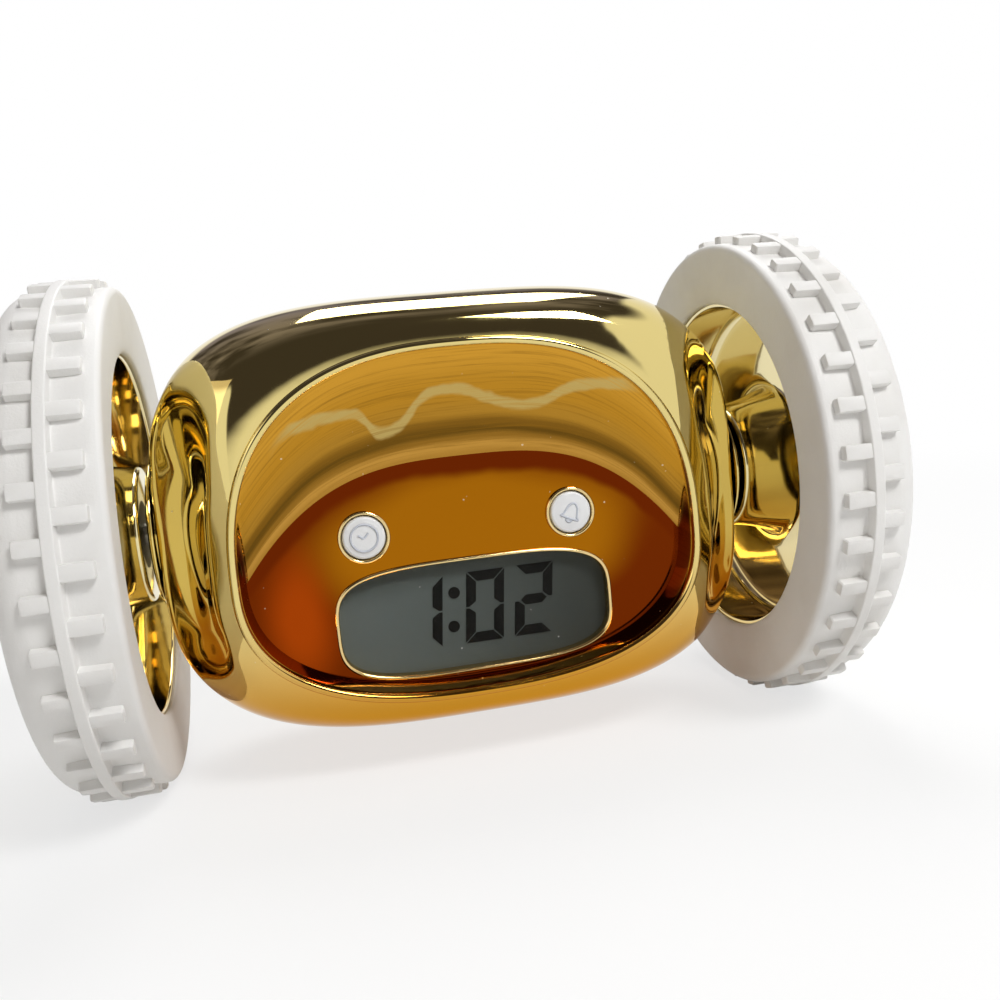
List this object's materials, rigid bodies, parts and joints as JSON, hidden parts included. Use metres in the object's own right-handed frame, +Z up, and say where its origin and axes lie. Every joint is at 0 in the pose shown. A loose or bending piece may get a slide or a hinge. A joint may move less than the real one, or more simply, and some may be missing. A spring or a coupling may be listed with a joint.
{
  "type": "runaway alarm clock",
  "caption": "Alarm clock with a gold oval case slung between large white-tyred wheels that it drives itself, and a digital display set in a dished face.",
  "frame": {"origin": "on the floor under the middle of the clock", "axes": "+X along the axle to the right of the face as it is read, -Y out of the face, +Z up"},
  "size_m": [0.1416, 0.089, 0.089],
  "materials": {
    "gold_plate": "mirror gold plating on moulded plastic",
    "amber_mirror": "amber lacquer over mirror plating",
    "display_window": "clear moulded window",
    "display_glass": "grey-green reflective display",
    "white_button": "white satin plastic",
    "white_rubber": "soft white satin rubber",
    "circuit_board": "green solder mask",
    "dark_plastic": "black moulded plastic",
    "gear_plastic": "natural acetal",
    "steel": "nickel-plated steel",
    "speaker_metal": "dark pressed steel",
    "cell_jacket": "plain printed jacket"
  },
  "bodies": {
    "case": {"front_shell": "gold_plate", "rear_shell": "gold_plate", "face_panel": "amber_mirror", "lcd_frame": "gold_plate", "lcd_window": "display_window", "lcd_module": "display_glass", "button_rings": "gold_plate", "display_board": "circuit_board", "front_switches": "dark_plastic", "chassis": "dark_plastic", "main_board": "circuit_board", "rear_switches": "dark_plastic", "speaker": "speaker_metal", "rear_panel": "gold_plate", "panel_screws": "steel", "battery_box": "dark_plastic", "battery_contacts": "steel", "battery_cells": "cell_jacket", "gearbox_left": "gear_plastic", "motor_left": "steel", "gear_pin_left": "steel", "side_collar_left": "gold_plate", "axle_bush_left": "gear_plastic", "gearbox_right": "gear_plastic", "motor_right": "steel", "gear_pin_right": "steel", "side_collar_right": "gold_plate", "axle_bush_right": "gear_plastic"},
    "clock_button": {"clock_button": "white_button"},
    "alarm_button": {"alarm_button": "white_button"},
    "hour_button": {"hour_button": "white_button"},
    "minute_button": {"minute_button": "white_button"},
    "battery_door": {"battery_door": "gold_plate", "door_screw": "steel"},
    "wheel_left": {"tyre_left": "white_rubber", "wheel_hub_left": "gold_plate", "hub_cap_left": "gold_plate", "axle_shaft_left": "steel", "output_gear_left": "gear_plastic"},
    "compound_gear_left": {"compound_gear_left": "gear_plastic"},
    "motor_pinion_left": {"motor_pinion_left": "gear_plastic"},
    "wheel_right": {"tyre_right": "white_rubber", "wheel_hub_right": "gold_plate", "hub_cap_right": "gold_plate", "axle_shaft_right": "steel", "output_gear_right": "gear_plastic"},
    "compound_gear_right": {"compound_gear_right": "gear_plastic"},
    "motor_pinion_right": {"motor_pinion_right": "gear_plastic"}
  },
  "joints": [
    {"name": "wheel_left_spin", "type": "hinge", "parent": "case", "child": "wheel_left", "pos_m": [-0.0613, 0, 0.0445], "axis": [1, 0, 0], "continuous": true},
    {"name": "compound_left_spin", "type": "hinge", "parent": "case", "child": "compound_gear_left", "pos_m": [-0.038, 0, 0.058], "axis": [1, 0, 0], "continuous": true},
    {"name": "pinion_left_spin", "type": "hinge", "parent": "case", "child": "motor_pinion_left", "pos_m": [-0.034, -0.00903, 0.06803], "axis": [1, 0, 0], "continuous": true},
    {"name": "wheel_right_spin", "type": "hinge", "parent": "case", "child": "wheel_right", "pos_m": [0.0613, 0, 0.0445], "axis": [1, 0, 0], "continuous": true},
    {"name": "compound_right_spin", "type": "hinge", "parent": "case", "child": "compound_gear_right", "pos_m": [0.038, 0, 0.058], "axis": [1, 0, 0], "continuous": true},
    {"name": "pinion_right_spin", "type": "hinge", "parent": "case", "child": "motor_pinion_right", "pos_m": [0.034, -0.00903, 0.06803], "axis": [1, 0, 0], "continuous": true},
    {"name": "clock_button_press", "type": "slide", "parent": "case", "child": "clock_button", "axis": [0, 1, 0], "range_m": [0, 0.0008], "stiffness_N_per_m": 400},
    {"name": "alarm_button_press", "type": "slide", "parent": "case", "child": "alarm_button", "axis": [0, 1, 0], "range_m": [0, 0.0008], "stiffness_N_per_m": 400},
    {"name": "hour_button_press", "type": "slide", "parent": "case", "child": "hour_button", "axis": [0, -1, 0], "range_m": [0, 0.0008], "stiffness_N_per_m": 400},
    {"name": "minute_button_press", "type": "slide", "parent": "case", "child": "minute_button", "axis": [0, -1, 0], "range_m": [0, 0.0008], "stiffness_N_per_m": 400},
    {"name": "battery_door_lift", "type": "slide", "parent": "case", "child": "battery_door", "axis": [0, 1, 0], "range_m": [0, 0.025]}
  ],
  "couplings": [
    {"joint": "compound_left_spin", "follows": "wheel_left_spin", "ratio": -5},
    {"joint": "pinion_left_spin", "follows": "wheel_left_spin", "ratio": 25},
    {"joint": "compound_right_spin", "follows": "wheel_right_spin", "ratio": -5},
    {"joint": "pinion_right_spin", "follows": "wheel_right_spin", "ratio": 25}
  ]
}
